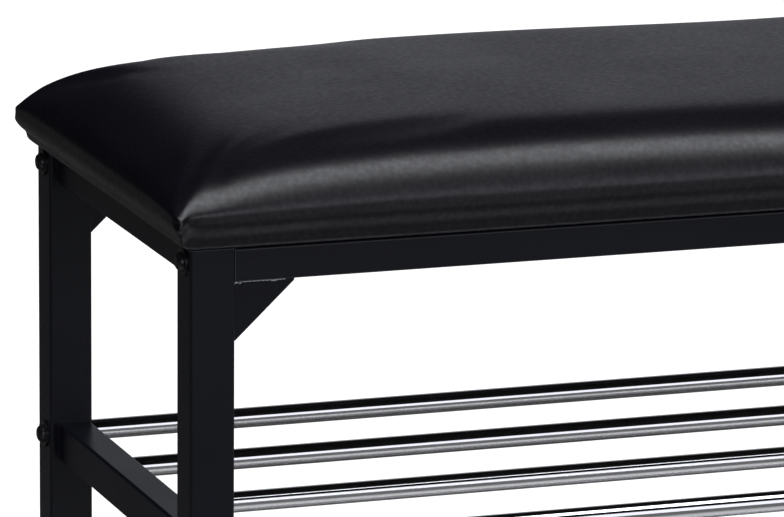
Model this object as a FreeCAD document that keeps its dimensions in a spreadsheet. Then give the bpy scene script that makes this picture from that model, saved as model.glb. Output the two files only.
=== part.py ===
"""Entryway bench: a square-tube frame with two shelves of bright rods and a padded seat.

The origin is on the floor under the middle of the bench. X runs along the bench, Y from front to back
and Z up. Every size is in millimetres and stands in the sheet "Sizes", which drives the whole document.
"""

import math
import os

import FreeCAD
import Part
import Sketcher

Vector = FreeCAD.Vector

# ---------------------------------------------------------------- driving sizes

SIZES = [
    ("frame_length", 850.0, "over the outer faces of the legs, along X"),
    ("frame_depth", 297.0, "over the outer faces of the legs, along Y"),
    ("frame_height", 405.0, "floor to the top of the legs"),
    ("leg_tube", 25.4, "side of the square leg tube"),
    ("leg_wall", 1.5, "wall of the leg tube"),
    ("leg_corner", 1.8, "outer corner radius of the leg tube"),
    ("rail_tube", 19.0, "side of the square rail tube"),
    ("rail_wall", 1.2, "wall of every rail tube"),
    ("rail_corner", 1.6, "outer corner radius of every rail tube"),
    ("rail_recess", 0.5, "long rail's face behind the leg's face"),
    ("end_rail_recess", 1.1, "end rail's inner face behind the leg's inner face"),
    ("shelf_rail_height", 22.5, "height of a shelf's end rail"),
    ("upper_shelf_drop", 170.8, "frame top down to the upper rods' axes"),
    ("lower_shelf_height", 63.2, "floor up to the lower rods' axes"),
    ("rod_below_rail_top", 8.6, "shelf end rail's top down to the rods' axes"),
    ("rod_diameter", 12.0, "outside of a shelf rod"),
    ("rod_wall", 1.0, "wall of a shelf rod"),
    ("rod_entry", 12.0, "how far an inner rod's end lies inside its end rail"),
    ("rod_gap", 0.1, "radial gap round an inner rod in its hole"),
    ("gusset_width", 36.5, "gusset plate along the rail"),
    ("gusset_drop", 34.5, "gusset plate down the leg"),
    ("gusset_tip", 2.7, "blunt tip at both ends of the gusset's slope"),
    ("gusset_thickness", 2.4, "thickness of the gusset plate"),
    ("bolt_diameter", 6.0, "every frame bolt and seat screw"),
    ("bolt_gap", 0.25, "radial gap round a bolt in a plain hole"),
    ("thread_gap", 0.05, "radial gap between a bolt and its thread"),
    ("bolt_head_diameter", 10.4, "domed head of a frame bolt"),
    ("bolt_head_height", 3.2, "height of the domed head"),
    ("bolt_grip", 14.0, "length of a bolt past the leg, in its nut"),
    ("washer_diameter", 16.0, "washer under a frame bolt's head"),
    ("washer_thickness", 1.3, "thickness of that washer"),
    ("washer_margin", 0.2, "seat rail washer's rim below the frame top"),
    ("rail_nut_length", 16.0, "threaded block in a long rail's end"),
    ("rod_nut_length", 18.0, "threaded plug in an outer rod's end"),
    ("nut_gap", 0.05, "gap between a block or plug and its tube"),
    ("glide_thickness", 4.0, "foot glide's pad under the leg"),
    ("glide_stem", 12.0, "foot glide's stem inside the leg"),
    ("glide_gap", 0.1, "gap between the stem and the leg's wall"),
    ("seat_overhang", 10.0, "seat past the legs, all round"),
    ("seat_corner", 12.0, "corner radius of the seat seen from above"),
    ("seat_round", 24.0, "radius round the seat's top edge"),
    ("board_thickness", 12.0, "plywood seat board"),
    ("board_corner", 6.0, "corner radius of the board"),
    ("foam_height", 40.0, "foam pad on the board"),
    ("foam_wrap", 12.0, "foam turned down past the board's edge"),
    ("cover_thickness", 1.2, "backed vinyl cover"),
    ("cover_gap", 0.3, "gap between the cover and what it holds"),
    ("cover_return", 46.0, "cover turned in under the board"),
    ("dust_cover_thickness", 0.6, "non-woven cloth under the board"),
    ("dust_cover_gap", 2.0, "dust cover's edge inside the legs and rails"),
    ("screw_pitch", 180.0, "between the two seat screws of an end rail"),
    ("screw_head_diameter", 12.0, "pan head of a seat screw"),
    ("screw_head_height", 3.4, "height of that head"),
    ("screw_end_gap", 1.5, "screw's end below the top of the board"),
    ("tee_nut_flange", 18.0, "tee nut's flange, sunk in the board"),
    ("tee_nut_sheet", 1.2, "thickness of that flange"),
    ("tee_nut_barrel", 8.0, "outside of the tee nut's barrel"),
    ("tee_nut_depth", 9.0, "height of the whole tee nut"),
    ("staple_crown", 10.0, "width of a staple"),
    ("staple_leg", 8.0, "height of a staple"),
    ("staple_wire", 0.8, "staple wire, square"),
    ("staple_inset", 4.5, "row of staples inside the dust cover's edge"),
    ("staple_end_margin", 24.0, "row's end to the dust cover's corner"),
    ("long_row_staples", 13.0, "staples along each long side"),
    ("short_row_staples", 4.0, "staples along each short side"),
]

document = FreeCAD.newDocument("entryway_bench")
sheet = document.addObject("Spreadsheet::Sheet", "Sizes")
for row, (alias, value, meaning) in enumerate(SIZES, start=1):
    sheet.set(f"A{row}", alias)
    sheet.set(f"B{row}", str(value))
    sheet.set(f"C{row}", meaning)
    sheet.setAlias(f"B{row}", alias)
document.recompute()


def size(alias):
    """The number that a sheet cell holds now."""
    return float(sheet.get(alias))


# ---------------------------------------------------------------- derived places, as expressions

LEG_X = "(Sizes.frame_length - Sizes.leg_tube) / 2"
LEG_Y = "(Sizes.frame_depth - Sizes.leg_tube) / 2"
LEG_INNER_X = "(Sizes.frame_length / 2 - Sizes.leg_tube)"
BETWEEN_LEGS_X = "(Sizes.frame_length - 2 * Sizes.leg_tube)"
BETWEEN_LEGS_Y = "(Sizes.frame_depth - 2 * Sizes.leg_tube)"
LEG_LENGTH = "(Sizes.frame_height - Sizes.glide_thickness)"
RAIL_Y = "(Sizes.frame_depth / 2 - Sizes.rail_recess - Sizes.rail_tube / 2)"
RAIL_Z = "(Sizes.frame_height - Sizes.rail_tube / 2)"
RAIL_BOTTOM = "(Sizes.frame_height - Sizes.rail_tube)"
RAIL_BOLT_Z = "(Sizes.frame_height - Sizes.washer_margin - Sizes.washer_diameter / 2)"
END_RAIL_X = f"({LEG_INNER_X} + Sizes.end_rail_recess + Sizes.rail_tube / 2)"
UPPER_ROD_Z = "(Sizes.frame_height - Sizes.upper_shelf_drop)"
LOWER_ROD_Z = "Sizes.lower_shelf_height"
SHELF_SPACING = f"({UPPER_ROD_Z} - {LOWER_ROD_Z})"
ROD_BELOW_RAIL_CENTRE = "(Sizes.shelf_rail_height / 2 - Sizes.rod_below_rail_top)"
OUTER_ROD_SPACING = "(Sizes.frame_depth - Sizes.leg_tube)"
ROD_PITCH = f"({OUTER_ROD_SPACING} / 3)"
INNER_ROD_LENGTH = f"({BETWEEN_LEGS_X} - 2 * Sizes.end_rail_recess + 2 * Sizes.rod_entry)"
BOLT_SHANK = "(Sizes.washer_thickness + Sizes.leg_tube + Sizes.bolt_grip)"
SEAT_LENGTH = "(Sizes.frame_length + 2 * Sizes.seat_overhang)"
SEAT_DEPTH = "(Sizes.frame_depth + 2 * Sizes.seat_overhang)"
COVER_SPACE = "(Sizes.cover_thickness + Sizes.cover_gap)"
BOARD_Z = f"(Sizes.frame_height + {COVER_SPACE})"
FOAM_Z = f"({BOARD_Z} + Sizes.board_thickness)"
COVER_HEIGHT = f"(2 * {COVER_SPACE} + Sizes.board_thickness + Sizes.foam_height)"
DUST_LENGTH = "(Sizes.frame_length - 2 * Sizes.leg_tube - 2 * Sizes.dust_cover_gap)"
DUST_DEPTH = (
    "(Sizes.frame_depth - 2 * Sizes.rail_recess - 2 * Sizes.rail_tube - 2 * Sizes.dust_cover_gap)"
)
DUST_Z = "(Sizes.frame_height - Sizes.dust_cover_thickness)"
STAPLE_Z = f"({DUST_Z} - Sizes.staple_wire)"
HALF_PITCH = "-Sizes.screw_pitch / 2"

SIDES = (("left", -1), ("right", 1))
DEPTHS = (("front", -1), ("rear", 1))
SHELVES = (("upper", UPPER_ROD_Z), ("lower", LOWER_ROD_Z))
HALF_TURN = 180.0
TOLERANCE = 1e-3
BOLT_DOME = 0.94  # share of a bolt head's height that its rim is rounded by
SCREW_DOME = 0.7  # the same for a seat screw's flatter head


# ---------------------------------------------------------------- building helpers


def signed(sign, expression):
    """The expression on the positive or the negative side of the middle."""
    return expression if sign > 0 else f"-{expression}"


def new_body(label, several=False):
    """A body named for the piece it is; several=True lets it hold a group of separate solids."""
    body = document.addObject("PartDesign::Body", label)
    body.Label = label
    body.AllowCompound = several
    return body


def origin_feature(body, role):
    """One of the body's own origin planes or axes, such as XY_Plane."""
    return next(item for item in body.Origin.OriginFeatures if item.Role == role)


def new_sketch(body, name, plane, **offset):
    """A sketch flat on one of the body's origin planes, moved by expressions along its own axes."""
    sketch = body.newObject("Sketcher::SketchObject", f"{body.Name}_{name}")
    sketch.AttachmentSupport = [(origin_feature(body, plane), "")]
    sketch.MapMode = "FlatFace"
    for axis, expression in offset.items():
        sketch.setExpression(f"AttachmentOffset.Base.{axis}", expression)
    return sketch


def bind(sketch, constraint, expression):
    """Add a sized constraint and drive it from the sheet."""
    index = sketch.addConstraint(constraint)
    sketch.setExpression(f"Constraints[{index}]", expression)


# Radii at which circles are first drawn, before their size takes hold, so that no two start alike.
SMALL_START = 0.5
MIDDLE_START = 1.0
LARGE_START = 2.0


def draw_circle(sketch, diameter, start=MIDDLE_START):
    """A circle on the sketch's origin."""
    circle = sketch.addGeometry(Part.Circle(Vector(0, 0, 0), Vector(0, 0, 1), start), False)
    sketch.addConstraint(Sketcher.Constraint("Coincident", circle, 3, -1, 1))
    bind(sketch, Sketcher.Constraint("Diameter", circle, 2 * start), diameter)


def draw_hole(sketch, across, up, diameter):
    """A circle away from the sketch's origin; an empty across or up keeps it on that axis."""
    start = Vector(10.0 if across else 0.0, 10.0 if up else 0.0, 0.0)
    circle = sketch.addGeometry(Part.Circle(start, Vector(0, 0, 1), MIDDLE_START), False)
    for kind, place, axis in (("DistanceX", across, -2), ("DistanceY", up, -1)):
        if place:
            bind(sketch, Sketcher.Constraint(kind, -1, 1, circle, 3, 10.0), place)
        else:
            sketch.addConstraint(Sketcher.Constraint("PointOnObject", circle, 3, axis))
    bind(sketch, Sketcher.Constraint("Diameter", circle, 2 * MIDDLE_START), diameter)


def draw_outline(sketch, vertices):
    """A closed outline in the sketch's positive quarter; a vertex's "0" puts it on that axis."""
    values = [(sheet_value(x), sheet_value(y)) for x, y in vertices]
    points = [Vector(x, y, 0.0) for x, y in values]
    count = len(points)
    lines = [
        sketch.addGeometry(Part.LineSegment(points[i], points[(i + 1) % count]), False)
        for i in range(count)
    ]
    for i, line in enumerate(lines):
        sketch.addConstraint(Sketcher.Constraint("Coincident", line, 2, lines[(i + 1) % count], 1))
    for line, point, (x, y) in zip(lines, points, vertices):
        for kind, place, start, axis in (("DistanceX", x, point.x, -2), ("DistanceY", y, point.y, -1)):
            if place == "0":
                sketch.addConstraint(Sketcher.Constraint("PointOnObject", line, 1, axis))
            else:
                bind(sketch, Sketcher.Constraint(kind, -1, 1, line, 1, start), place)


def sheet_value(expression):
    """The number that an expression of sheet cells gives now."""
    return float(sheet.evalExpression(expression)) if expression != "0" else 0.0


def draw_rounded(sketch, across, up, corner):
    """A rectangle with four equal round corners, centred on the sketch's origin."""
    half_x = sheet_value(across) / 2
    half_y = sheet_value(up) / 2
    radius = sheet_value(corner)
    quarter = math.radians(HALF_TURN / 2)
    first = len(sketch.Geometry)
    for turn, (sx, sy) in enumerate(((1, 1), (-1, 1), (-1, -1), (1, -1))):
        centre = Vector(sx * (half_x - radius), sy * (half_y - radius), 0)
        circle = Part.Circle(centre, Vector(0, 0, 1), radius)
        round_corner = Part.ArcOfCircle(circle, turn * quarter, (turn + 1) * quarter)
        sketch.addGeometry(round_corner, False)
    arcs = [first, first + 1, first + 2, first + 3]
    lines = []
    for i, arc in enumerate(arcs):
        follower = arcs[(i + 1) % 4]
        ends = (sketch.getPoint(arc, 2), sketch.getPoint(follower, 1))
        line = sketch.addGeometry(Part.LineSegment(*ends), False)
        sketch.addConstraint(Sketcher.Constraint("Tangent", arc, 2, line, 1))
        sketch.addConstraint(Sketcher.Constraint("Tangent", line, 2, follower, 1))
        sketch.addConstraint(Sketcher.Constraint("Vertical" if i % 2 else "Horizontal", line))
        lines.append(line)
    for arc in arcs[1:]:
        sketch.addConstraint(Sketcher.Constraint("Equal", arcs[0], arc))
    top, left, bottom, right = lines
    sketch.addConstraint(Sketcher.Constraint("Symmetric", top, 1, bottom, 1, -1, 1))
    bind(sketch, Sketcher.Constraint("DistanceX", left, 1, right, 1, 2 * half_x), across)
    bind(sketch, Sketcher.Constraint("DistanceY", bottom, 1, top, 1, 2 * half_y), up)
    bind(sketch, Sketcher.Constraint("Radius", arcs[0], radius), corner)


def pad(body, sketch, length, symmetric=False):
    """Extrude a sketch along its normal, or by half the length to each side."""
    feature = body.newObject("PartDesign::Pad", f"{sketch.Name}_pad")
    feature.Profile = sketch
    feature.setExpression("Length", length)
    feature.SideType = "Symmetric" if symmetric else "One side"
    document.recompute()
    return feature


def pocket(body, sketch, length=None, backwards=False):
    """Cut a sketch against its normal, or right through both ways; it must take material away."""
    before = body.Shape.Volume
    feature = body.newObject("PartDesign::Pocket", f"{sketch.Name}_cut")
    feature.Profile = sketch
    feature.Reversed = backwards
    if length is None:
        feature.Type = "ThroughAll"
        feature.SideType = "Symmetric"
    else:
        feature.setExpression("Length", length)
    document.recompute()
    if feature.Shape.Volume > before - TOLERANCE:
        raise RuntimeError(f"{feature.Name} cuts nothing")
    return feature


def revolve(body, sketch, axis):
    """Turn a sketch's profile once round its own H_Axis or V_Axis."""
    feature = body.newObject("PartDesign::Revolution", f"{sketch.Name}_turn")
    feature.Profile = sketch
    feature.ReferenceAxis = (sketch, [axis])
    feature.Angle = 2 * HALF_TURN
    document.recompute()
    return feature


def repeat(body, feature, rows=(), mirrors=()):
    """Copy a feature in rows (axis, distance over all, count) and across origin planes."""
    group = body.newObject("PartDesign::MultiTransform", f"{feature.Name}_copies")
    steps = []
    for axis, distance, count in rows:
        row_step = body.newObject("PartDesign::LinearPattern", f"{feature.Name}_row_{axis}")
        row_step.Direction = (origin_feature(body, axis), [""])
        row_step.setExpression("Length", distance)
        row_step.setExpression("Occurrences", count)
        steps.append(row_step)
    for plane in mirrors:
        mirror_step = body.newObject("PartDesign::Mirrored", f"{feature.Name}_mirror_{plane}")
        mirror_step.MirrorPlane = (origin_feature(body, plane), [""])
        steps.append(mirror_step)
    group.Originals = [feature]
    group.Transformations = steps
    body.Tip = group
    document.recompute()
    return group


def round_edges(body, feature, radius, wanted):
    """Fillet the edges of a feature that the test picks out."""
    names = [f"Edge{i}" for i, edge in enumerate(feature.Shape.Edges, start=1) if wanted(edge)]
    fillet = body.newObject("PartDesign::Fillet", f"{feature.Name}_round")
    fillet.Base = (feature, names)
    fillet.setExpression("Radius", radius)
    body.Tip = fillet
    document.recompute()
    return fillet


def place(piece, x="0", y="0", z="0", turned=False):
    """Put a finished piece in the bench; turned=True spins it half a turn about the vertical."""
    if turned:
        piece.Placement.Rotation = FreeCAD.Rotation(Vector(0, 0, 1), HALF_TURN)
    for axis, expression in (("x", x), ("y", y), ("z", z)):
        if expression != "0":
            piece.setExpression(f"Placement.Base.{axis}", expression)


NODES = []


def keep(piece):
    """List a finished piece for export."""
    NODES.append(piece)
    return piece


def draw_tube(sketch, across, up, wall, corner):
    """The two outlines of a rectangular tube."""
    draw_rounded(sketch, across, up, corner)
    draw_rounded(sketch, f"({across} - 2 * {wall})", f"({up} - 2 * {wall})", f"({corner} - {wall})")


# ---------------------------------------------------------------- legs and foot glides

BOLT_HOLE = "(Sizes.bolt_diameter + 2 * Sizes.bolt_gap)"


def make_leg(label, x_side, y_side):
    """An upright tube, open at the top under the seat, drilled right through for three bolts."""
    body = new_body(label)
    section = new_sketch(body, "section", "XY_Plane")
    draw_tube(section, "Sizes.leg_tube", "Sizes.leg_tube", "Sizes.leg_wall", "Sizes.leg_corner")
    pad(body, section, LEG_LENGTH)
    holes = new_sketch(body, "holes", "YZ_Plane")
    for height in (RAIL_BOLT_Z, UPPER_ROD_Z, LOWER_ROD_Z):
        draw_hole(holes, "", f"({height} - Sizes.glide_thickness)", BOLT_HOLE)
    pocket(body, holes)
    place(body, signed(x_side, f"({LEG_X})"), signed(y_side, f"({LEG_Y})"), "Sizes.glide_thickness")
    return keep(body)


def make_glide(label, x_side, y_side):
    """A plastic plug in the leg's open end, with a flat pad as wide as the leg."""
    body = new_body(label)
    pad_outline = new_sketch(body, "pad", "XY_Plane")
    draw_rounded(pad_outline, "Sizes.leg_tube", "Sizes.leg_tube", "Sizes.leg_corner")
    pad(body, pad_outline, "Sizes.glide_thickness")
    stem_outline = new_sketch(body, "stem", "XY_Plane", z="Sizes.glide_thickness")
    stem = "(Sizes.leg_tube - 2 * Sizes.leg_wall - 2 * Sizes.glide_gap)"
    draw_rounded(stem_outline, stem, stem, "(Sizes.leg_corner - Sizes.leg_wall)")
    pad(body, stem_outline, "Sizes.glide_stem")
    place(body, signed(x_side, f"({LEG_X})"), signed(y_side, f"({LEG_Y})"))
    return keep(body)


for side, x_sign in SIDES:
    for depth, y_sign in DEPTHS:
        make_leg(f"leg_{depth}_{side}", x_sign, y_sign)
        make_glide(f"foot_glide_{depth}_{side}", x_sign, y_sign)


# ---------------------------------------------------------------- rails and gussets


def make_long_rail(label, y_side):
    """A square tube between the legs along the bench, its face just behind the legs' faces."""
    body = new_body(label)
    section = new_sketch(body, "section", "YZ_Plane")
    draw_tube(section, "Sizes.rail_tube", "Sizes.rail_tube", "Sizes.rail_wall", "Sizes.rail_corner")
    pad(body, section, BETWEEN_LEGS_X, symmetric=True)
    place(body, y=signed(y_side, RAIL_Y), z=RAIL_Z)
    return keep(body)


def make_top_end_rail(label, x_side):
    """A square tube between the two legs of an end, drilled upright for the two seat screws."""
    body = new_body(label)
    section = new_sketch(body, "section", "XZ_Plane")
    draw_tube(section, "Sizes.rail_tube", "Sizes.rail_tube", "Sizes.rail_wall", "Sizes.rail_corner")
    pad(body, section, BETWEEN_LEGS_Y, symmetric=True)
    hole = new_sketch(body, "hole", "XY_Plane", y=HALF_PITCH)
    draw_circle(hole, BOLT_HOLE)
    drilled = pocket(body, hole)
    repeat(body, drilled, rows=[("Y_Axis", "Sizes.screw_pitch", "2")])
    place(body, signed(x_side, END_RAIL_X), z=RAIL_Z)
    return keep(body)


def make_shelf_end_rail(label, x_side, rod_height):
    """A tube between the two legs of an end, with holes in its inner wall for the two inner rods."""
    body = new_body(label)
    section = new_sketch(body, "section", "XZ_Plane")
    height = "Sizes.shelf_rail_height"
    draw_tube(section, "Sizes.rail_tube", height, "Sizes.rail_wall", "Sizes.rail_corner")
    pad(body, section, BETWEEN_LEGS_Y, symmetric=True)
    hole = new_sketch(
        body,
        "hole",
        "YZ_Plane",
        x=f"-{ROD_PITCH} / 2",
        y=ROD_BELOW_RAIL_CENTRE,
        z="-Sizes.rail_tube / 2",
    )
    draw_circle(hole, "(Sizes.rod_diameter + 2 * Sizes.rod_gap)")
    drilled = pocket(body, hole, "Sizes.rail_tube / 2", backwards=True)
    repeat(body, drilled, rows=[("Y_Axis", ROD_PITCH, "2")])
    place(
        body,
        signed(x_side, END_RAIL_X),
        z=f"{rod_height} - {ROD_BELOW_RAIL_CENTRE}",
        turned=x_side < 0,
    )
    return keep(body)


def make_gusset(label, x_side, y_side):
    """A triangular plate in the corner of a leg and a long rail, its slope ending in blunt tips."""
    body = new_body(label)
    outline = new_sketch(body, "outline", "XZ_Plane")
    draw_outline(
        outline,
        [
            ("0", "0"),
            ("Sizes.gusset_tip", "0"),
            ("Sizes.gusset_width", "(Sizes.gusset_drop - Sizes.gusset_tip)"),
            ("Sizes.gusset_width", "Sizes.gusset_drop"),
            ("0", "Sizes.gusset_drop"),
        ],
    )
    pad(body, outline, "Sizes.gusset_thickness", symmetric=True)
    place(
        body,
        signed(x_side, LEG_INNER_X),
        signed(y_side, RAIL_Y),
        f"{RAIL_BOTTOM} - Sizes.gusset_drop",
        turned=x_side > 0,
    )
    return keep(body)


for depth, y_sign in DEPTHS:
    make_long_rail(f"{depth}_seat_rail", y_sign)
for side, x_sign in SIDES:
    make_top_end_rail(f"top_end_rail_{side}", x_sign)
    for shelf, rod_z in SHELVES:
        make_shelf_end_rail(f"{shelf}_shelf_end_rail_{side}", x_sign, rod_z)
    for depth, y_sign in DEPTHS:
        make_gusset(f"gusset_{depth}_{side}", x_sign, y_sign)


# ---------------------------------------------------------------- shelf rods

ROD_PLACES = (
    ("front", -1.5, BETWEEN_LEGS_X),
    ("front_middle", -0.5, INNER_ROD_LENGTH),
    ("rear_middle", 0.5, INNER_ROD_LENGTH),
    ("rear", 1.5, BETWEEN_LEGS_X),
)


def make_rod(label, pitches, length, height):
    """A thin round tube: an outer rod butts on the legs, an inner one enters the end rails."""
    body = new_body(label)
    section = new_sketch(body, "section", "YZ_Plane")
    draw_circle(section, "Sizes.rod_diameter")
    draw_circle(section, "(Sizes.rod_diameter - 2 * Sizes.rod_wall)", start=SMALL_START)
    pad(body, section, length, symmetric=True)
    place(body, y=f"{pitches} * {ROD_PITCH}", z=height)
    return keep(body)


for shelf, rod_z in SHELVES:
    for position, pitches_from_middle, rod_length in ROD_PLACES:
        make_rod(f"{shelf}_shelf_rod_{position}", pitches_from_middle, rod_length, rod_z)


# ---------------------------------------------------------------- frame bolts, washers and nuts

LEVELS_SEAT = ()
LEVELS_SHELF = (("Z_Axis", SHELF_SPACING, "2"),)
RAIL_ROW = (("Y_Axis", f"2 * ({LEG_Y})", "2"),)
BOTH_ENDS = ("YZ_Plane",)


def make_bolts(label, lowest, levels):
    """Domed bolts through the legs from both ends of the bench, as one group."""
    body = new_body(label, several=True)
    profile = new_sketch(
        body,
        "profile",
        "XZ_Plane",
        x=f"{LEG_INNER_X} - Sizes.bolt_grip",
        y=lowest,
        z=LEG_Y,
    )
    head_end = f"({BOLT_SHANK} + Sizes.bolt_head_height)"
    draw_outline(
        profile,
        [
            ("0", "0"),
            (head_end, "0"),
            (head_end, "Sizes.bolt_head_diameter / 2"),
            (BOLT_SHANK, "Sizes.bolt_head_diameter / 2"),
            (BOLT_SHANK, "Sizes.bolt_diameter / 2"),
            ("0", "Sizes.bolt_diameter / 2"),
        ],
    )
    bolt = revolve(body, profile, "H_Axis")
    group = repeat(body, bolt, rows=RAIL_ROW + levels, mirrors=BOTH_ENDS)
    outer_x = size("frame_length") / 2 + size("washer_thickness") + size("bolt_head_height")
    head_radius = size("bolt_head_diameter") / 2

    def rim(edge):
        on_end = abs(abs(edge.CenterOfMass.x) - outer_x) < TOLERANCE
        is_round = hasattr(edge.Curve, "Radius")
        return on_end and is_round and abs(edge.Curve.Radius - head_radius) < TOLERANCE

    round_edges(body, group, f"{BOLT_DOME} * Sizes.bolt_head_height", rim)
    return keep(body)


def make_washers(label, lowest, levels):
    """Plain washers between the bolt heads and the legs, as one group."""
    body = new_body(label, several=True)
    ring = new_sketch(body, "ring", "YZ_Plane", x=f"-({LEG_Y})", y=lowest, z="Sizes.frame_length / 2")
    draw_circle(ring, "Sizes.washer_diameter", start=LARGE_START)
    draw_circle(ring, BOLT_HOLE)
    washer = pad(body, ring, "Sizes.washer_thickness")
    repeat(body, washer, rows=RAIL_ROW + levels, mirrors=BOTH_ENDS)
    return keep(body)


THREAD = "(Sizes.bolt_diameter + 2 * Sizes.thread_gap)"


def make_rail_nuts(label):
    """Threaded blocks in the ends of the long rails, which the seat rail bolts pull up."""
    body = new_body(label, several=True)
    side_length = "(Sizes.rail_tube - 2 * Sizes.rail_wall - 2 * Sizes.nut_gap)"
    block = new_sketch(
        body,
        "block",
        "YZ_Plane",
        x=f"-{RAIL_Y}",
        y=RAIL_Z,
        z=f"{LEG_INNER_X} - Sizes.rail_nut_length",
    )
    draw_rounded(block, side_length, side_length, "(Sizes.rail_corner - Sizes.rail_wall)")
    blank = pad(body, block, "Sizes.rail_nut_length")
    repeat(body, blank, rows=[("Y_Axis", f"2 * {RAIL_Y}", "2")], mirrors=BOTH_ENDS)
    thread = new_sketch(body, "thread", "YZ_Plane", x=f"-({LEG_Y})", y=RAIL_BOLT_Z)
    draw_circle(thread, THREAD)
    bored = pocket(body, thread)
    repeat(body, bored, rows=RAIL_ROW)
    return keep(body)


def make_rod_nuts(label):
    """Threaded plugs in the ends of the outer rods, which the shelf bolts pull up."""
    body = new_body(label, several=True)
    plug = new_sketch(
        body,
        "plug",
        "YZ_Plane",
        x=f"-({LEG_Y})",
        y=LOWER_ROD_Z,
        z=f"{LEG_INNER_X} - Sizes.rod_nut_length",
    )
    draw_circle(plug, "(Sizes.rod_diameter - 2 * Sizes.rod_wall - 2 * Sizes.nut_gap)", start=LARGE_START)
    draw_circle(plug, THREAD)
    nut = pad(body, plug, "Sizes.rod_nut_length")
    repeat(body, nut, rows=RAIL_ROW + LEVELS_SHELF, mirrors=BOTH_ENDS)
    return keep(body)


make_bolts("seat_rail_bolts", RAIL_BOLT_Z, LEVELS_SEAT)
make_bolts("shelf_rod_bolts", LOWER_ROD_Z, LEVELS_SHELF)
make_washers("seat_rail_washers", RAIL_BOLT_Z, LEVELS_SEAT)
make_washers("shelf_rod_washers", LOWER_ROD_Z, LEVELS_SHELF)
make_rail_nuts("seat_rail_end_nuts")
make_rod_nuts("shelf_rod_end_nuts")


# ---------------------------------------------------------------- seat: staples


def make_staple_rows(label, crown_plane, row_axis, mirror_plane, rows):
    """Two facing rows of staples, their crowns along the row and their legs pointing up."""
    body = new_body(label, several=True)
    row_length, row_place, count = rows
    sideways = row_place if crown_plane == "XZ_Plane" else f"-{row_place}"
    first = f"-{row_length} / 2 - Sizes.staple_crown / 2"
    profile = new_sketch(body, "profile", crown_plane, x=first, y=STAPLE_Z, z=sideways)
    draw_outline(
        profile,
        [
            ("0", "0"),
            ("Sizes.staple_crown", "0"),
            ("Sizes.staple_crown", "Sizes.staple_leg"),
            ("(Sizes.staple_crown - Sizes.staple_wire)", "Sizes.staple_leg"),
            ("(Sizes.staple_crown - Sizes.staple_wire)", "Sizes.staple_wire"),
            ("Sizes.staple_wire", "Sizes.staple_wire"),
            ("Sizes.staple_wire", "Sizes.staple_leg"),
            ("0", "Sizes.staple_leg"),
        ],
    )
    staple = pad(body, profile, "Sizes.staple_wire", symmetric=True)
    repeat(body, staple, rows=[(row_axis, row_length, count)], mirrors=[mirror_plane])
    return body


def row_of(length, across, count):
    """The length, distance from the middle and count of one row of staples."""
    return (
        f"({length} - 2 * Sizes.staple_end_margin)",
        f"({across} / 2 - Sizes.staple_inset)",
        count,
    )


LONG_ROW = row_of(DUST_LENGTH, DUST_DEPTH, "Sizes.long_row_staples")
SHORT_ROW = row_of(DUST_DEPTH, DUST_LENGTH, "Sizes.short_row_staples")

long_staples = make_staple_rows("long_staple_rows", "XZ_Plane", "X_Axis", "XZ_Plane", LONG_ROW)
short_staples = make_staple_rows("short_staple_rows", "YZ_Plane", "Y_Axis", "YZ_Plane", SHORT_ROW)
staples = document.addObject("Part::Compound", "cover_staples")
staples.Links = [long_staples, short_staples]
document.recompute()
keep(staples)


def cut_by_staples(label, blank):
    """The piece with the staples' holes in it."""
    piece = document.addObject("Part::Cut", label)
    piece.Label = label
    piece.Base = blank
    piece.Tool = staples
    document.recompute()
    return keep(piece)


# ---------------------------------------------------------------- seat: board, foam, covers and screws

FOAM_LENGTH = f"({SEAT_LENGTH} - 2 * {COVER_SPACE})"
FOAM_DEPTH = f"({SEAT_DEPTH} - 2 * {COVER_SPACE})"
FOAM_CORNER = f"(Sizes.seat_corner - {COVER_SPACE})"
BOARD_LENGTH = f"({FOAM_LENGTH} - 2 * Sizes.foam_wrap - 2 * Sizes.cover_gap)"
BOARD_DEPTH = f"({FOAM_DEPTH} - 2 * Sizes.foam_wrap - 2 * Sizes.cover_gap)"
SCREW_ROWS = (("X_Axis", f"2 * {END_RAIL_X}", "2"), ("Y_Axis", "Sizes.screw_pitch", "2"))


def make_board():
    """The plywood board, bored for the tee nuts' barrels and counterbored for their flanges."""
    body = new_body("seat_board_blank")
    outline = new_sketch(body, "outline", "XY_Plane", z=BOARD_Z)
    draw_rounded(outline, BOARD_LENGTH, BOARD_DEPTH, "Sizes.board_corner")
    pad(body, outline, "Sizes.board_thickness")
    for name, diameter, height in (
        ("barrel", "Sizes.tee_nut_barrel", BOARD_Z),
        ("flange", "Sizes.tee_nut_flange", f"({FOAM_Z} - Sizes.tee_nut_sheet)"),
    ):
        hole = new_sketch(body, name, "XY_Plane", x=f"-{END_RAIL_X}", y=HALF_PITCH, z=height)
        draw_circle(hole, diameter, start=LARGE_START)
        bored = pocket(body, hole, "Sizes.board_thickness", backwards=True)
        repeat(body, bored, rows=SCREW_ROWS)
    return body


def make_padding(label, length, depth, corner, bottom, height, crown):
    """A block with round corners and a rounded top edge: the shape of the foam and of its cover."""
    body = new_body(label)
    outline = new_sketch(body, "outline", "XY_Plane", z=bottom)
    draw_rounded(outline, length, depth, corner)
    block = pad(body, outline, height)
    top = sheet_value(bottom) + sheet_value(height)

    def on_top(edge):
        return abs(edge.BoundBox.ZMin - top) < TOLERANCE

    return body, round_edges(body, block, crown, on_top)


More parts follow.
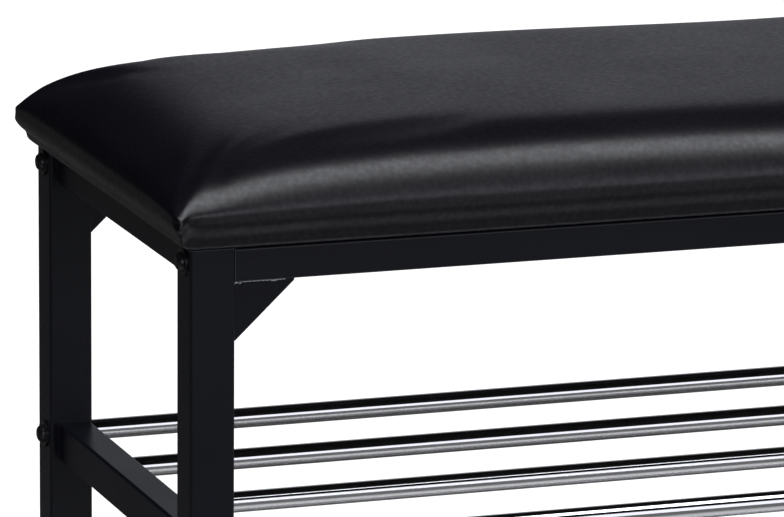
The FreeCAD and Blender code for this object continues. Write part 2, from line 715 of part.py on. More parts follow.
def make_cover():
    """The vinyl cover: a thin shell over foam and board, turned in under the board all round."""
    body, block = make_padding(
        "seat_cover_blank",
        SEAT_LENGTH,
        SEAT_DEPTH,
        "Sizes.seat_corner",
        "Sizes.frame_height",
        COVER_HEIGHT,
        "Sizes.seat_round",
    )
    faces = enumerate(block.Shape.Faces, start=1)
    lowest = min(faces, key=lambda numbered: numbered[1].CenterOfMass.z)[0]
    shell = body.newObject("PartDesign::Thickness", "seat_cover_shell")
    shell.Base = (block, [f"Face{lowest}"])
    shell.setExpression("Value", "Sizes.cover_thickness")
    shell.Reversed = True
    body.Tip = shell
    document.recompute()
    hem = new_sketch(body, "hem", "XY_Plane", z="Sizes.frame_height")
    draw_rounded(hem, SEAT_LENGTH, SEAT_DEPTH, "Sizes.seat_corner")
    inner_corner = "(Sizes.seat_corner / 2)"
    inner = "2 * Sizes.cover_return"
    draw_rounded(hem, f"({SEAT_LENGTH} - {inner})", f"({SEAT_DEPTH} - {inner})", inner_corner)
    pad(body, hem, "Sizes.cover_thickness")
    hole = new_sketch(body, "screw_hole", "XY_Plane", x=f"-{END_RAIL_X}", y=HALF_PITCH)
    draw_circle(hole, BOLT_HOLE)
    bored = pocket(body, hole, BOARD_Z, backwards=True)
    repeat(body, bored, rows=SCREW_ROWS)
    return body


def make_dust_cover():
    """The non-woven cloth that closes the seat's underside between the legs and the long rails."""
    body = new_body("seat_dust_cover_blank")
    outline = new_sketch(body, "outline", "XY_Plane", z=DUST_Z)
    draw_rounded(outline, DUST_LENGTH, DUST_DEPTH, "Sizes.staple_inset")
    pad(body, outline, "Sizes.dust_cover_thickness")
    return body


def make_seat_screws():
    """Pan-head screws up through the end rails into the tee nuts, as one group."""
    body = new_body("seat_screws", several=True)
    shank = f"({FOAM_Z} - Sizes.screw_end_gap - {RAIL_BOTTOM})"
    profile = new_sketch(
        body,
        "profile",
        "XZ_Plane",
        x=f"-{END_RAIL_X}",
        y=f"{RAIL_BOTTOM} - Sizes.screw_head_height",
        z="Sizes.screw_pitch / 2",
    )
    draw_outline(
        profile,
        [
            ("0", "0"),
            ("Sizes.screw_head_diameter / 2", "0"),
            ("Sizes.screw_head_diameter / 2", "Sizes.screw_head_height"),
            ("Sizes.bolt_diameter / 2", "Sizes.screw_head_height"),
            ("Sizes.bolt_diameter / 2", f"({shank} + Sizes.screw_head_height)"),
            ("0", f"({shank} + Sizes.screw_head_height)"),
        ],
    )
    screw = revolve(body, profile, "V_Axis")
    group = repeat(body, screw, rows=SCREW_ROWS)
    lowest = size("frame_height") - size("rail_tube") - size("screw_head_height")

    def rim(edge):
        return abs(edge.BoundBox.ZMax - lowest) < TOLERANCE and hasattr(edge.Curve, "Radius")

    round_edges(body, group, f"{SCREW_DOME} * Sizes.screw_head_height", rim)
    return keep(body)


def make_tee_nuts():
    """Tee nuts let into the board's top, as one group."""
    body = new_body("seat_tee_nuts", several=True)
    profile = new_sketch(
        body,
        "profile",
        "XZ_Plane",
        x=f"-{END_RAIL_X}",
        y=f"{FOAM_Z} - Sizes.tee_nut_depth",
        z="Sizes.screw_pitch / 2",
    )
    inside = f"({THREAD} / 2)"
    under_flange = "(Sizes.tee_nut_depth - Sizes.tee_nut_sheet)"
    draw_outline(
        profile,
        [
            (inside, "0"),
            ("Sizes.tee_nut_barrel / 2", "0"),
            ("Sizes.tee_nut_barrel / 2", under_flange),
            ("Sizes.tee_nut_flange / 2", under_flange),
            ("Sizes.tee_nut_flange / 2", "Sizes.tee_nut_depth"),
            (inside, "Sizes.tee_nut_depth"),
        ],
    )
    nut = revolve(body, profile, "V_Axis")
    repeat(body, nut, rows=SCREW_ROWS)
    return keep(body)


def make_foam():
    """The foam pad, its edges turned down round the board as far as the cover's hem."""
    body, rounded = make_padding(
        "seat_foam",
        FOAM_LENGTH,
        FOAM_DEPTH,
        FOAM_CORNER,
        BOARD_Z,
        "(Sizes.board_thickness + Sizes.foam_height)",
        f"(Sizes.seat_round - {COVER_SPACE})",
    )
    recess = new_sketch(body, "recess", "XY_Plane", z=BOARD_Z)
    draw_rounded(
        recess,
        f"({BOARD_LENGTH} + 2 * Sizes.cover_gap)",
        f"({BOARD_DEPTH} + 2 * Sizes.cover_gap)",
        "(Sizes.board_corner + Sizes.cover_gap)",
    )
    pocket(body, recess, "Sizes.board_thickness", backwards=True)
    return keep(body)


cut_by_staples("seat_board", make_board())
cut_by_staples("seat_cover", make_cover())
cut_by_staples("seat_dust_cover", make_dust_cover())
make_seat_screws()
make_tee_nuts()
make_foam()


# ---------------------------------------------------------------- checks and export

document.recompute()
for item in document.Objects:
    if "Invalid" in item.State or "Error" in item.State:
        raise RuntimeError(f"{item.Name} failed: {item.State}")
for piece in NODES:
    if piece.Shape.isNull() or not piece.Shape.isValid() or not piece.Shape.Solids:
        raise RuntimeError(f"{piece.Label} has no valid solid")

os.makedirs("parts", exist_ok=True)
for piece in NODES:
    piece.Shape.exportStep(f"parts/{piece.Label}.step")
    print(f"{piece.Label}: {len(piece.Shape.Solids)} solids, {piece.Shape.Volume / 1000:.2f} cm3")
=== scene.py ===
import math

import bpy
from mathutils import Matrix, Vector


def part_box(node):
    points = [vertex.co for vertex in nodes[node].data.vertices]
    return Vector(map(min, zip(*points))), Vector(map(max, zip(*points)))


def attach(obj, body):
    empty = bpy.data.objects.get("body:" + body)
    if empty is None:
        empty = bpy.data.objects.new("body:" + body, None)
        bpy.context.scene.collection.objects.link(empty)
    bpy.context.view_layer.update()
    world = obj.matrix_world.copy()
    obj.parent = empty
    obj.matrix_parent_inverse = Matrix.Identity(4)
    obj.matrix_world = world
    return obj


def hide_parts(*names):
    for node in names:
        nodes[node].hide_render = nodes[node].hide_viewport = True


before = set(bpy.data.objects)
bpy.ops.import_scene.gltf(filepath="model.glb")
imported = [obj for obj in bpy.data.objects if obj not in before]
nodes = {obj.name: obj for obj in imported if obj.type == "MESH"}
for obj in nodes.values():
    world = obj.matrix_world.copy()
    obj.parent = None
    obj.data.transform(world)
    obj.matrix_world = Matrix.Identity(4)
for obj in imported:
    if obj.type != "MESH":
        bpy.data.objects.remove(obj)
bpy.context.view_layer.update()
bpy.ops.object.select_all(action="DESELECT")

# ---------------------------------------------------------------- black tube frame
# The legs and rails are square steel tube and the corner gussets are steel plate, all powder coated
# in one semi-gloss black, which cures with a fine orange-peel skin over the metal.


def link(tree, value, socket):
    """Join a socket to a socket, or set it to a plain value."""
    if isinstance(value, bpy.types.NodeSocket):
        tree.links.new(value, socket)
    else:
        socket.default_value = value


def sum_up(tree, operation, first, second):
    """One Math node; each input is a socket or a number."""
    node = tree.nodes.new("ShaderNodeMath")
    node.operation = operation
    link(tree, first, node.inputs[0])
    link(tree, second, node.inputs[1])
    return node.outputs["Value"]


def start_group(name, numbers, results):
    """An empty shader group: its number inputs by name and value, and its result sockets."""
    tree = bpy.data.node_groups.new(name, "ShaderNodeTree")
    for label, value in numbers.items():
        number = tree.interface.new_socket(label, in_out="INPUT", socket_type="NodeSocketFloat")
        number.default_value = value
    for label in results:
        tree.interface.new_socket(label, in_out="OUTPUT", socket_type="NodeSocketFloat")
    return tree, tree.nodes.new("NodeGroupInput").outputs, tree.nodes.new("NodeGroupOutput").inputs


def object_noise(tree, scale, detail, stretch=(1.0, 1.0, 1.0)):
    """Noise that stays on the piece, in object space."""
    place = tree.nodes.new("ShaderNodeTexCoord")
    mapping = tree.nodes.new("ShaderNodeMapping")
    mapping.inputs["Scale"].default_value = stretch
    texture = tree.nodes.new("ShaderNodeTexNoise")
    texture.inputs["Detail"].default_value = detail
    tree.links.new(place.outputs["Object"], mapping.inputs["Vector"])
    tree.links.new(mapping.outputs["Vector"], texture.inputs["Vector"])
    link(tree, scale, texture.inputs["Scale"])
    return texture.outputs["Fac"]


# Surface life: a slow cloud that shades colour and roughness about 1, and a fine skin for the bump.
surface_life, life_in, life_out = start_group(
    "surface_life",
    {"Cloud Scale": 12.0, "Cloud Strength": 0.3, "Skin Scale": 900.0},
    ["Shade", "Skin"],
)
cloud = object_noise(surface_life, life_in["Cloud Scale"], 4.0)
cloud = sum_up(surface_life, "SUBTRACT", cloud, 0.5)
cloud = sum_up(surface_life, "MULTIPLY", cloud, life_in["Cloud Strength"])
surface_life.links.new(sum_up(surface_life, "ADD", cloud, 1.0), life_out["Shade"])
surface_life.links.new(object_noise(surface_life, life_in["Skin Scale"], 2.0), life_out["Skin"])


def new_finish(name, colour, roughness, cloud, skin, metallic=0.0):
    """A material whose colour and roughness drift with the cloud, given as (scale, strength), and
    whose skin, given as (scale, depth in metres), is a fine bump."""
    cloud_scale, cloud_strength = cloud
    skin_scale, skin_depth = skin
    finish = bpy.data.materials.new(name)
    finish.use_nodes = True
    tree = finish.node_tree
    shader = tree.nodes["Principled BSDF"]
    shader.inputs["Metallic"].default_value = metallic
    life = tree.nodes.new("ShaderNodeGroup")
    life.node_tree = surface_life
    life.inputs["Cloud Scale"].default_value = cloud_scale
    life.inputs["Cloud Strength"].default_value = cloud_strength
    life.inputs["Skin Scale"].default_value = skin_scale
    tint = tree.nodes.new("ShaderNodeVectorMath")
    tint.operation = "SCALE"
    tint.inputs[0].default_value = colour
    tree.links.new(life.outputs["Shade"], tint.inputs["Scale"])
    tree.links.new(tint.outputs["Vector"], shader.inputs["Base Color"])
    worn = sum_up(tree, "MULTIPLY", life.outputs["Shade"], roughness)
    tree.links.new(worn, shader.inputs["Roughness"])
    relief = tree.nodes.new("ShaderNodeBump")
    relief.inputs["Distance"].default_value = skin_depth
    tree.links.new(life.outputs["Skin"], relief.inputs["Height"])
    tree.links.new(relief.outputs["Normal"], shader.inputs["Normal"])
    return finish


def coat(finish, *names):
    """Give CAD nodes a finish."""
    for name in names:
        nodes[name].data.materials.clear()
        nodes[name].data.materials.append(finish)


TUBES = [n for n in nodes if n.startswith("leg_") or n.endswith("seat_rail") or "end_rail" in n]
GUSSETS = [n for n in nodes if n.startswith("gusset_")]
powder_coat = new_finish(
    "black_powder_coat", (0.0036, 0.0042, 0.0086), 0.33, cloud=(9.0, 0.35), skin=(700.0, 0.00003)
)
powder_tree = powder_coat.node_tree
powder_shader = powder_tree.nodes["Principled BSDF"]
powder_shader.inputs["Specular IOR Level"].default_value = 0.36

# A lighter colour is painted along every arris of the tubes and plates: a painted highlight standing in
# for the light that the rounded edges catch.
EDGE_WIDTH = 0.0008
EDGE_GAIN = 8.0
EDGE_HIGHLIGHT_COLOUR = (0.110, 0.115, 0.130, 1.0)

painted_edge_highlight, edge_in, edge_out = start_group(
    "painted_edge_highlight", {"Width": EDGE_WIDTH, "Strength": 1.0}, ["Mask"]
)
rounded = painted_edge_highlight.nodes.new("ShaderNodeBevel")
rounded.samples = 6
painted_edge_highlight.links.new(edge_in["Width"], rounded.inputs["Radius"])
flat = painted_edge_highlight.nodes.new("ShaderNodeNewGeometry")
agree = painted_edge_highlight.nodes.new("ShaderNodeVectorMath")
agree.operation = "DOT_PRODUCT"
painted_edge_highlight.links.new(rounded.outputs["Normal"], agree.inputs[0])
painted_edge_highlight.links.new(flat.outputs["Normal"], agree.inputs[1])
turned = sum_up(painted_edge_highlight, "SUBTRACT", 1.0, agree.outputs["Value"])
turned = sum_up(painted_edge_highlight, "MINIMUM", sum_up(painted_edge_highlight, "MULTIPLY", turned, EDGE_GAIN), 1.0)
painted_edge_highlight.links.new(sum_up(painted_edge_highlight, "MULTIPLY", turned, edge_in["Strength"]), edge_out["Mask"])
powder_edge_highlight = powder_tree.nodes.new("ShaderNodeGroup")
powder_edge_highlight.node_tree = painted_edge_highlight
# Mix the painted edge highlight colour into the base colour where the bevel mask finds an arris.
edge_highlight_mix = powder_tree.nodes.new("ShaderNodeMix")
edge_highlight_mix.data_type = "RGBA"
edge_highlight_mix.inputs["B"].default_value = EDGE_HIGHLIGHT_COLOUR
powder_tree.links.new(powder_edge_highlight.outputs["Mask"], edge_highlight_mix.inputs["Factor"])
powder_tree.links.new(powder_shader.inputs["Base Color"].links[0].from_socket, edge_highlight_mix.inputs["A"])
powder_tree.links.new(edge_highlight_mix.outputs["Result"], powder_shader.inputs["Base Color"])
coat(powder_coat, *TUBES, *GUSSETS)

# ---------------------------------------------------------------- gusset welds
# Each gusset plate is fillet welded to the rail over it on both faces: a low rippled bead, with
# fatter tacks by the leg and near the plate's tip. The weld metal is left bright.

WELD_LENGTH = 0.0315
WELD_RADIUS = 0.0012
WELD_SIDES = 16
WELD_RINGS = 64
WELD_RIPPLE = 0.12
WELD_RIPPLE_LENGTH = 0.0004
WELD_TAPER = 0.0012
WELD_TIP = 0.15
WELD_DROP = 0.75 * WELD_RADIUS
WELD_STAND = 0.35 * WELD_RADIUS
# Each tack: how far along the bead it is, half its width, and how much fatter it makes the bead.
TACKS = ((0.0020, 0.0009, 0.9), (0.0047, 0.0010, 1.0), (0.0245, 0.0020, 0.6))


def hump(distance, width):
    """A smooth bump: 1 in its middle, fading over this width."""
    return math.exp(-((distance / width) ** 2))


gusset_low, gusset_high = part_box("gusset_front_left")
bpy.ops.mesh.primitive_cylinder_add(
    vertices=WELD_SIDES, radius=WELD_RADIUS, depth=WELD_LENGTH, rotation=(0, math.pi / 2, 0)
)
bead = bpy.context.object
bead.name = "gusset_welds"
bpy.ops.object.transform_apply(location=True, rotation=True, scale=True)
bpy.ops.object.mode_set(mode="EDIT")
bpy.ops.mesh.select_all(action="DESELECT")
bpy.ops.mesh.select_mode(type="EDGE")
bpy.ops.object.mode_set(mode="OBJECT")
for edge in bead.data.edges:
    first, second = (bead.data.vertices[i].co for i in edge.vertices)
    edge.select = abs(first.x - second.x) > WELD_LENGTH / 2
bpy.ops.object.mode_set(mode="EDIT")
bpy.ops.mesh.subdivide(number_cuts=WELD_RINGS)
bpy.ops.object.mode_set(mode="OBJECT")
for vertex in bead.data.vertices:
    along = vertex.co.x + WELD_LENGTH / 2
    fat = 1.0 + WELD_RIPPLE * math.sin(along / WELD_RIPPLE_LENGTH)
    for place, half_width, gain in TACKS:
        fat += gain * hump(along - place, half_width)
    from_tip = max(0.0, min(along, WELD_LENGTH - along))
    fat *= min(1.0, WELD_TIP + math.sqrt(from_tip / WELD_TAPER))
    vertex.co.y *= fat
    vertex.co.z *= fat
bpy.ops.object.shade_smooth()
weld_metal = new_finish(
    "bright_weld", (0.50, 0.51, 0.53), 0.30, cloud=(300.0, 0.5), skin=(2500.0, 0.00003), metallic=1.0
)
bead.data.materials.append(weld_metal)
gusset_inner_x = abs(gusset_low.x)
plate_half = (gusset_high.y - gusset_low.y) / 2
plate_y = abs(gusset_low.y + plate_half)
weld_z = gusset_high.z - WELD_DROP
beads = [bead]
for end in (-1, 1):
    for depth in (-1, 1):
        for face in (-1, 1):
            if (end, depth, face) != (-1, -1, -1):
                copy = bead.copy()
                copy.data = bead.data.copy()
                bpy.context.scene.collection.objects.link(copy)
                beads.append(copy)
            piece = beads[-1]
            middle_x = end * (gusset_inner_x - WELD_LENGTH / 2)
            middle_y = depth * plate_y + face * (plate_half + WELD_STAND)
            turn = Matrix.Rotation(math.pi if end > 0 else 0.0, 4, "Z")
            piece.matrix_world = Matrix.Translation((middle_x, middle_y, weld_z)) @ turn
bpy.ops.object.select_all(action="DESELECT")
for piece in beads:
    piece.select_set(True)
bpy.context.view_layer.objects.active = bead
bpy.ops.object.join()
bpy.ops.object.transform_apply(location=True, rotation=True, scale=True)
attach(bead, "root")

# ---------------------------------------------------------------- foot glides
# Each leg ends in a plug of black polyethylene, moulded with a slightly coarse skin. Its stem goes
# up inside the leg and its pad stands on the floor.

glide_plastic = new_finish(
    "moulded_black_plastic", (0.012, 0.012, 0.012), 0.5, cloud=(30.0, 0.3), skin=(2200.0, 0.00005)
)
coat(glide_plastic, *[n for n in nodes if n.startswith("foot_glide")])

# ---------------------------------------------------------------- shelf rods
# The shelves are thin steel tubes plated with bright chrome: the outer ones butt on the legs and
# the inner ones enter the end rails. Polishing leaves faint lines along them.

chrome = new_finish(
    "bright_chrome", (0.92, 0.92, 0.925), 0.06, cloud=(14.0, 0.10), skin=(260.0, 0.0000004), metallic=1.0
)
chrome_tree = chrome.node_tree
polish_lines = object_noise(chrome_tree, 1400.0, 3.0, stretch=(0.004, 1.0, 1.0))
chrome_tree.links.new(polish_lines, chrome_tree.nodes["Bump"].inputs["Height"])
coat(chrome, *[n for n in nodes if "_shelf_rod_" in n])

# ---------------------------------------------------------------- bolts, washers, nuts and staples
# Domed black bolts on dark washers hold the ends; inside and underneath, the nuts, seat screws,
# tee nuts and staples are bright zinc.

bolt_black = new_finish(
    "black_oxide", (0.010, 0.010, 0.012), 0.28, cloud=(160.0, 0.5), skin=(1500.0, 0.00003)
)
coat(bolt_black, "seat_rail_bolts", "shelf_rod_bolts", "seat_rail_washers", "shelf_rod_washers")
zinc = new_finish(
    "zinc_plating", (0.55, 0.56, 0.54), 0.34, cloud=(90.0, 0.6), skin=(1200.0, 0.00002), metallic=1.0
)
coat(zinc, "seat_rail_end_nuts", "shelf_rod_end_nuts")
coat(zinc, "seat_tee_nuts", "seat_screws", "cover_staples")

# ---------------------------------------------------------------- seat board
# A plywood board carries the padding, with its face grain along the bench. Four screws, up
# through the end rails, hold it on the frame.

plywood = new_finish(
    "plywood", (0.42, 0.28, 0.15), 0.62, cloud=(18.0, 0.5), skin=(700.0, 0.0001)
)
ply_tree = plywood.node_tree
ply_lines = object_noise(ply_tree, 260.0, 4.0, stretch=(0.03, 1.0, 1.0))
ply_tree.links.new(ply_lines, ply_tree.nodes["Bump"].inputs["Height"])
coat(plywood, "seat_board")

# ---------------------------------------------------------------- dust cloth
# Thin black spun-bonded cloth closes the seat's underside between the rails. It is stapled tight
# round its edge, so it draws up at each staple and hangs a little in the middle.

CLOTH_CELLS_LONG = 156
CLOTH_CELLS_SHORT = 50
STAPLES_LONG = 13
STAPLES_SHORT = 4
STAPLE_MARGIN = 0.024
CLOTH_SAG = 0.0040
CLOTH_SCALLOP = 0.0007
CLOTH_FLAT_EDGE = 0.008
CLOTH_SAG_REACH = 0.05
CLOTH_SCALLOP_REACH = 0.012

cloth_low, cloth_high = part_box("seat_dust_cover")
cloth_length = cloth_high.x - cloth_low.x
cloth_depth = cloth_high.y - cloth_low.y
cloth_thickness = cloth_high.z - cloth_low.z
bpy.ops.object.select_all(action="DESELECT")
bpy.ops.mesh.primitive_grid_add(
    x_subdivisions=CLOTH_CELLS_LONG, y_subdivisions=CLOTH_CELLS_SHORT, size=1
)
dust_cloth = bpy.context.object
dust_cloth.name = "underseat_dust_cloth"
dust_cloth.scale = (cloth_length, cloth_depth, 1)
dust_cloth.location = (0, 0, cloth_high.z)
bpy.ops.object.transform_apply(location=True, rotation=True, scale=True)


def scallop(along, length, count):
    """How far between two staples a point lies: 0 on a staple, 1 half-way."""
    pitch = (length - 2 * STAPLE_MARGIN) / (count - 1)
    return (1 - math.cos(2 * math.pi * (along + length / 2 - STAPLE_MARGIN) / pitch)) / 2


for vertex in dust_cloth.data.vertices:
    x, y, z = vertex.co
    edge_x = cloth_length / 2 - abs(x)
    edge_y = cloth_depth / 2 - abs(y)
    inner = 1.0
    for edge in (edge_x, edge_y):
        inner *= 1 - math.exp(-max(0.0, edge - CLOTH_FLAT_EDGE) / CLOTH_SAG_REACH)
    tuck = scallop(x, cloth_length, STAPLES_LONG) * math.exp(-edge_y / CLOTH_SCALLOP_REACH)
    tuck += scallop(y, cloth_depth, STAPLES_SHORT) * math.exp(-edge_x / CLOTH_SCALLOP_REACH)
    vertex.co.z = z - CLOTH_SAG * inner - CLOTH_SCALLOP * tuck
solid = dust_cloth.modifiers.new("thickness", "SOLIDIFY")
solid.thickness = cloth_thickness
solid.offset = -1
bpy.ops.object.modifier_apply(modifier=solid.name)
bpy.ops.object.shade_smooth_by_angle(angle=math.radians(40))
spun_cloth = new_finish(
    "spun_bonded_cloth", (0.010, 0.010, 0.011), 0.9, cloud=(60.0, 0.5), skin=(2500.0, 0.0002)
)
dust_cloth.data.materials.append(spun_cloth)
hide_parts("seat_dust_cover")
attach(dust_cloth, "root")

# ---------------------------------------------------------------- padded seat
# Foam on the board is pulled tight under one sheet of black imitation leather, turned in under the
# board all round. Highest along its middle line and a little lower half-way along, it rolls over
# quickly at front and rear, falls away slowly to both ends, and is pleated once at each corner.

SEAT_CROWN = 0.0565
SEAT_ROLL = 0.0180
END_BULGE = 0.0050
CORNER_RADIUS = 0.0050
UNDER_GAP = 0.0004
MIDDLE_SAG = 0.0018
MIDDLE_SAG_REACH = 0.11
ROW_CUTS = ((0, (71, 1)), (1, (25, 1)), (2, (7,)))  # each axis, and the cuts of each of its rounds
EVEN_SHARE = 0.25  # the rest of the rows crowd to the edges, where the cover turns fastest
SOFTEN_ABOVE = 0.006
SOFTEN_ROUNDS = 3

# Each roll is a quick and a slow part: the share of the crown it still lacks at the edge, and the
# distance over which that share fades.
FRONT_ROLL = ((0.67, 0.009), (0.15, 0.060))
REAR_ROLL = ((0.76, 0.0085), (0.05, 0.040))
END_ROLL = ((0.21, 0.0045), (0.64, 0.045))

# The nose at each end: its height, how far and how quickly it rounds under, then a straight slope.
NOSE_HEIGHT = 0.0150
NOSE_ROUND = 0.0090
NOSE_RADIUS = 0.0017
NOSE_REACH = 0.0062
NOSE_SLOPE = 0.95

# The long sides slope straight in, and blend into the frame's top.
SIDE_HEIGHT = 0.0145
SIDE_SLOPE = 2.05
SIDE_BLEND = 0.0010

seat_low, seat_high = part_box("seat_cover")
half_length = seat_high.x + END_BULGE
half_depth = seat_high.y
frame_top = seat_low.z


def rise(inset, roll):
    """Share of the crown reached this far in from an edge with this roll."""
    (quick_share, quick_reach), (slow_share, slow_reach) = roll
    share = 1.0 - quick_share * math.exp(-inset / quick_reach)
    return share - slow_share * math.exp(-inset / slow_reach)


def under_rise(inset_x, inset_y):
    """Height of the underside this far in from the edges: the ends are a full round nose, the long
    sides slope in more directly, and both end on the frame's top."""
    end = NOSE_HEIGHT - NOSE_ROUND * (1.0 - math.exp(-inset_x / NOSE_RADIUS))
    end -= NOSE_SLOPE * max(0.0, inset_x - NOSE_REACH)
    slope = (SIDE_HEIGHT - SIDE_SLOPE * inset_y - UNDER_GAP) / SIDE_BLEND
    side = SIDE_BLEND * math.log1p(math.exp(min(slope, 60.0)))
    return UNDER_GAP + max(end, side)


def soften(piece, chosen, rounds):
    """Relax the chosen vertices, which rounds off the lines where the curves meet."""
    bpy.ops.object.mode_set(mode="EDIT")
    bpy.ops.mesh.select_mode(type="VERT")
    bpy.ops.mesh.select_all(action="DESELECT")
    bpy.ops.object.mode_set(mode="OBJECT")
    for vertex in piece.data.vertices:
        vertex.select = chosen(vertex.co)
    bpy.ops.object.mode_set(mode="EDIT")
    bpy.ops.mesh.vertices_smooth(factor=0.5, repeat=rounds)
    bpy.ops.object.mode_set(mode="OBJECT")


bpy.ops.object.select_all(action="DESELECT")
bpy.ops.mesh.primitive_cube_add(size=2)
seat = bpy.context.object
seat.name = "seat_upholstery"
for axis, cuts in ROW_CUTS:
    for count in cuts:
        bpy.ops.object.mode_set(mode="EDIT")
        bpy.ops.mesh.select_mode(type="EDGE")
        bpy.ops.mesh.select_all(action="DESELECT")
        bpy.ops.object.mode_set(mode="OBJECT")
        for edge in seat.data.edges:
            first, second = (seat.data.vertices[i].co for i in edge.vertices)
            edge.select = abs(first[axis] - second[axis]) > 1e-6
        bpy.ops.object.mode_set(mode="EDIT")
        bpy.ops.mesh.subdivide(number_cuts=count)
        bpy.ops.object.mode_set(mode="OBJECT")
for vertex in seat.data.vertices:
    u, v, w = vertex.co
    share_x = 1 - abs(u)
    share_y = 1 - abs(v)
    inset_x = half_length * (EVEN_SHARE * share_x + (1 - EVEN_SHARE) * share_x**2)
    inset_y = half_depth * (EVEN_SHARE * share_y + (1 - EVEN_SHARE) * share_y**2)
    x = half_length - inset_x
    y = half_depth - inset_y
    near_x = CORNER_RADIUS - inset_x
    near_y = CORNER_RADIUS - inset_y
    if near_x > 0 and near_y > 0:
        shrink = max(near_x, near_y) / math.hypot(near_x, near_y)
        x = half_length - CORNER_RADIUS + near_x * shrink
        y = half_depth - CORNER_RADIUS + near_y * shrink
        inset_x = CORNER_RADIUS - near_x * shrink
        inset_y = CORNER_RADIUS - near_y * shrink
    crown = SEAT_CROWN - SEAT_ROLL - MIDDLE_SAG * hump(x, MIDDLE_SAG_REACH)
    across = rise(inset_y, REAR_ROLL if v > 0 else FRONT_ROLL)
    top = SEAT_ROLL + crown * across * rise(inset_x, END_ROLL)
    under = under_rise(inset_x, inset_y)
    z = under + (top - under) * (w + 1) / 2
    vertex.co = (math.copysign(x, u), math.copysign(y, v), frame_top + z)
for polygon in seat.data.polygons:
    polygon.use_smooth = True
soften(seat, lambda place: place.z > frame_top + SOFTEN_ABOVE, SOFTEN_ROUNDS)

# The cover is held down at the staples and blown out a little by the foam everywhere else.
HELD_BELOW = 0.004
SWELL_PRESSURE = 4.0
SWELL_FRAMES = 20
SWELL_CAP = 0.0030

rest_places = [vertex.co.copy() for vertex in seat.data.vertices]
held = seat.vertex_groups.new(name="stapled")
stapled = [v.index for v in seat.data.vertices if v.co.z < frame_top + HELD_BELOW]
held.add(stapled, 1.0, "REPLACE")
cloth = seat.modifiers.new("foam_push", "CLOTH")
cloth.settings.effector_weights.gravity = 0
cloth.settings.use_pressure = True
cloth.settings.uniform_pressure_force = SWELL_PRESSURE
cloth.settings.vertex_group_mass = "stapled"
cloth.settings.quality = 6
cloth.settings.tension_stiffness = 30
cloth.settings.compression_stiffness = 30
cloth.settings.bending_stiffness = 0.8
cloth.collision_settings.use_collision = False
for number in range(1, SWELL_FRAMES + 1):
    bpy.context.scene.frame_set(number)
bpy.context.view_layer.objects.active = seat
bpy.ops.object.modifier_apply(modifier=cloth.name)
bpy.context.scene.frame_set(1)
for vertex in seat.data.vertices:
    push = vertex.co - rest_places[vertex.index]
    if push.length > SWELL_CAP:
        vertex.co = rest_places[vertex.index] + push * (SWELL_CAP / push.length)
seat.vertex_groups.clear()

# One pleat at each corner: its flap lies against the long side and its folded edge faces the end.
# The fold leans back above its bend and below it, and a knuckle of gathered cover sits on it.
PLEAT_DEPTH = 0.0015
PLEAT_REACH = 0.022
PLEAT_STRIP = 0.018
PLEAT_TOP = 0.0270
PLEAT_TOP_FADE = 0.008
PLEAT_FOOT_FADE = 0.004
FOLD_INSET = 0.0058
FOLD_BEND = 0.018
FOLD_LEAN_ABOVE = 0.55
FOLD_LEAN_BELOW = 0.20
FLAP_FRONT = 0.0010
FLAP_BACK = 0.0050
GUTTER_SHARE = 0.45
GUTTER_OFFSET = 0.0026
GUTTER_WIDTH = 0.0014
KNUCKLE_SHARE = 1.1
KNUCKLE_HEIGHT = 0.0150
KNUCKLE_TALL = 0.0040
KNUCKLE_WIDE = 0.0030


def pleat_rise(inset_x, height):
    """How far the pleat stands off the long side here: steep at the fold, gentle behind it."""
    fold = FOLD_INSET - FOLD_LEAN_ABOVE * max(0.0, height - FOLD_BEND)
    fold -= FOLD_LEAN_BELOW * max(0.0, FOLD_BEND - height)
    past = inset_x - fold
    flap = hump(past, FLAP_FRONT if past < 0 else FLAP_BACK)
    gutter = GUTTER_SHARE * hump(past + GUTTER_OFFSET, GUTTER_WIDTH)
    tall = (height - KNUCKLE_HEIGHT) / KNUCKLE_TALL
    knuckle = KNUCKLE_SHARE * math.exp(-(tall**2) - (past / KNUCKLE_WIDE) ** 2)
    top_fade = min(1.0, max(0.0, (PLEAT_TOP - height) / PLEAT_TOP_FADE))
    fade = top_fade * min(1.0, max(0.0, height / PLEAT_FOOT_FADE))
    return PLEAT_DEPTH * fade * (flap - gutter + knuckle)


for vertex in seat.data.vertices:
    x, y, z = vertex.co
    inset_x = half_length - abs(x)
    height = z - frame_top
    if inset_x < PLEAT_REACH and height < PLEAT_TOP and abs(y) > half_depth - PLEAT_STRIP:
        vertex.co.y += math.copysign(pleat_rise(inset_x, height), y)

smooth_skin = seat.modifiers.new("smooth_skin", "SUBSURF")
smooth_skin.levels = 1
smooth_skin.render_levels = 1
bpy.ops.object.modifier_apply(modifier=smooth_skin.name)

vinyl = new_finish(
    "black_imitation_leather", (0.0024, 0.0022, 0.0040), 0.36, cloud=(14.0, 0.45), skin=(1500.0, 0.00004)
)
vinyl_tree = vinyl.node_tree
vinyl_shader = vinyl_tree.nodes["Principled BSDF"]

# The raised parts of the grain are rubbed glossier, as a clear coat that comes and goes.
GRAIN_SCALE = 340.0
GRAIN_START = 0.38
GRAIN_GAIN = 1.1

grain = object_noise(vinyl_tree, GRAIN_SCALE, 3.0)
grain = sum_up(vinyl_tree, "SUBTRACT", grain, GRAIN_START)
grain = sum_up(vinyl_tree, "MULTIPLY", grain, GRAIN_GAIN)
vinyl_tree.links.new(grain, vinyl_shader.inputs["Coat Weight"])
vinyl_shader.inputs["Coat Roughness"].default_value = 0.30
seat.data.materials.append(vinyl)
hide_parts("seat_cover", "seat_foam")
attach(seat, "root")

# ---------------------------------------------------------------- studio
# A pale floor washed from above, one soft box overhead, a wide one standing in front and one behind,
# in a dim room. The camera stands in front and to the left, 0.75 m above the frame.

FLOOR_SIZE = 80.0
FLOOR_SHADE = 0.60
FLOOR_TINT = (0.98, 0.985, 1.0)

